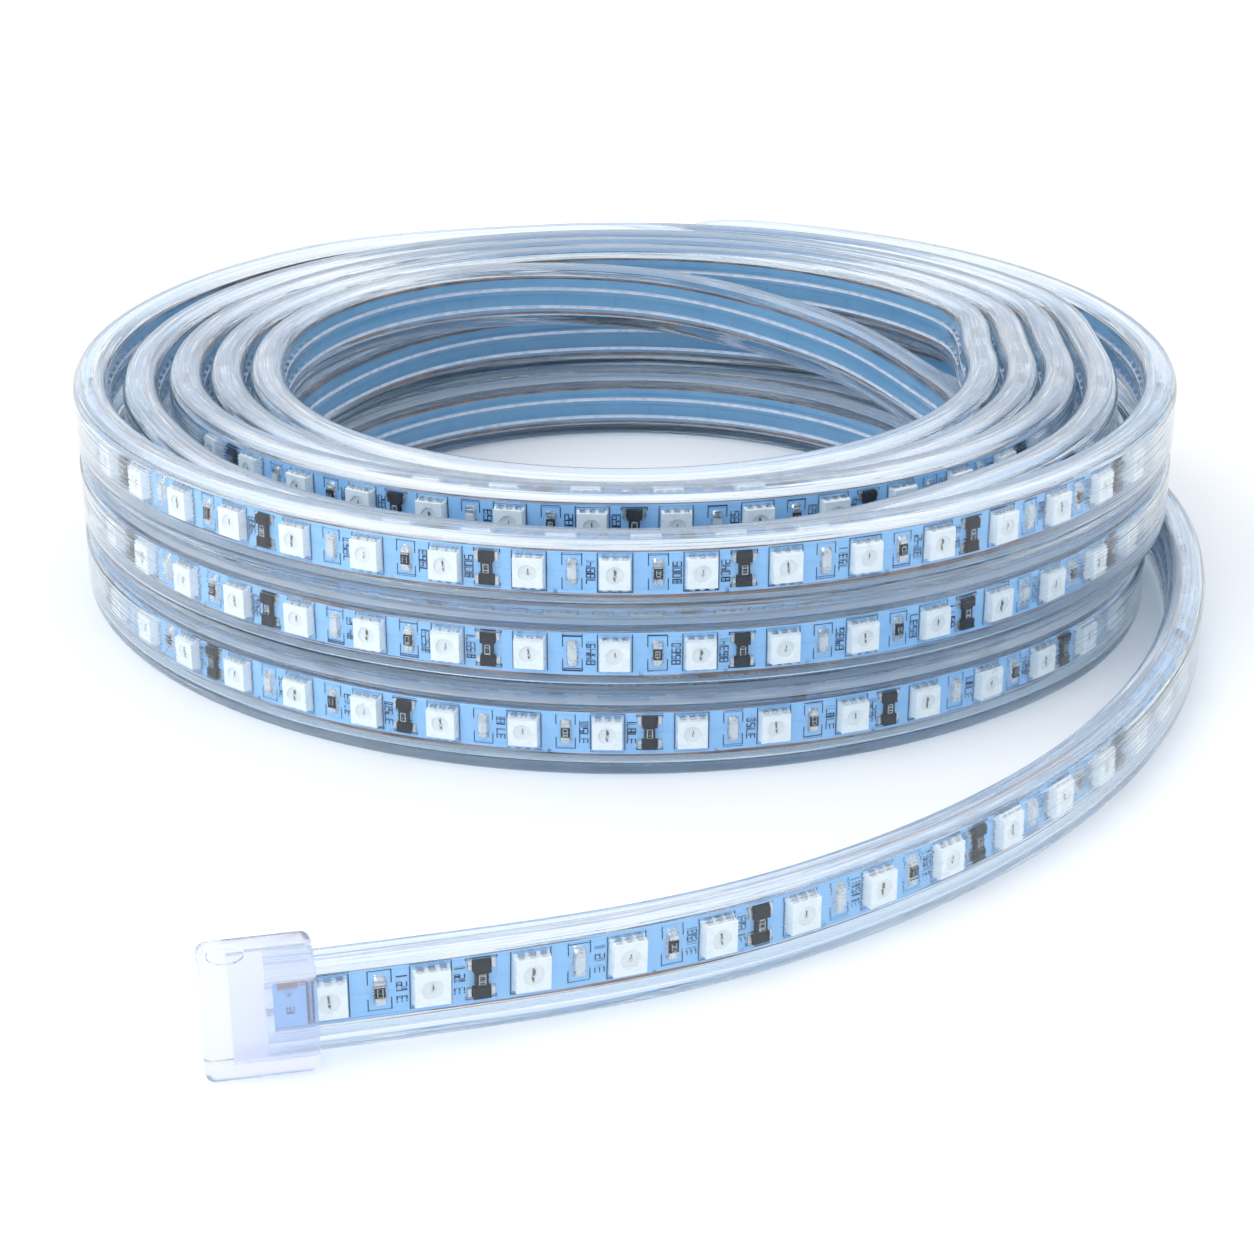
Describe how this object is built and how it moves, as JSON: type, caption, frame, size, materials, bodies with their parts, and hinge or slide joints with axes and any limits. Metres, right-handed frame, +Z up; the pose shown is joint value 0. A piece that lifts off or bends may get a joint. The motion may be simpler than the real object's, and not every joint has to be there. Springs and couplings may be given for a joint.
{
  "type": "led strip light",
  "caption": "Coil of flexible LED strip light in a clear rectangular sleeve, wound in layers, with a free tail that ends in a clear end cap.",
  "frame": {"origin": "middle of the footprint, on the surface that the coil lies on", "axes": "+Z up along the coil's axis; the free end of the tail lies towards -Y and -X"},
  "size_m": [0.2122, 0.2944, 0.0411],
  "materials": {
    "wound_strip": "clear glossy sleeve over a light blue circuit strip",
    "clear_sleeve": "clear glossy extruded plastic",
    "blue_circuit": "light blue solder mask, satin",
    "led_white": "white moulded lamp body, satin",
    "resistor_metal": "tinned ends, bright",
    "bridge_black": "black moulded body, satin",
    "clear_cap": "clear glossy moulded plastic"
  },
  "bodies": {
    "root": {"coil": "wound_strip", "tail_sleeve": "clear_sleeve", "circuit_strip": "blue_circuit", "outer_sleeve": "clear_sleeve", "outer_circuit": "blue_circuit", "end_cap": "clear_cap", "led_01": "led_white", "led_02": "led_white", "led_03": "led_white", "led_04": "led_white", "led_05": "led_white", "led_06": "led_white", "led_07": "led_white", "led_08": "led_white", "led_09": "led_white", "led_10": "led_white", "led_11": "led_white", "led_12": "led_white", "led_13": "led_white", "led_14": "led_white", "led_15": "led_white", "led_16": "led_white", "led_17": "led_white", "led_18": "led_white", "led_19": "led_white", "led_20": "led_white", "led_21": "led_white", "led_22": "led_white", "led_23": "led_white", "resistor_01": "resistor_metal", "bridge_02": "bridge_black", "resistor_03": "resistor_metal", "resistor_04": "resistor_metal", "bridge_05": "bridge_black", "resistor_06": "resistor_metal", "resistor_07": "resistor_metal", "bridge_08": "bridge_black", "resistor_09": "resistor_metal", "resistor_10": "resistor_metal", "bridge_11": "bridge_black", "resistor_12": "resistor_metal", "resistor_13": "resistor_metal", "bridge_14": "bridge_black", "resistor_15": "resistor_metal", "resistor_16": "resistor_metal", "bridge_17": "bridge_black", "resistor_18": "resistor_metal", "resistor_19": "resistor_metal", "bridge_20": "bridge_black", "resistor_21": "resistor_metal", "resistor_22": "resistor_metal"}
  },
  "joints": []
}
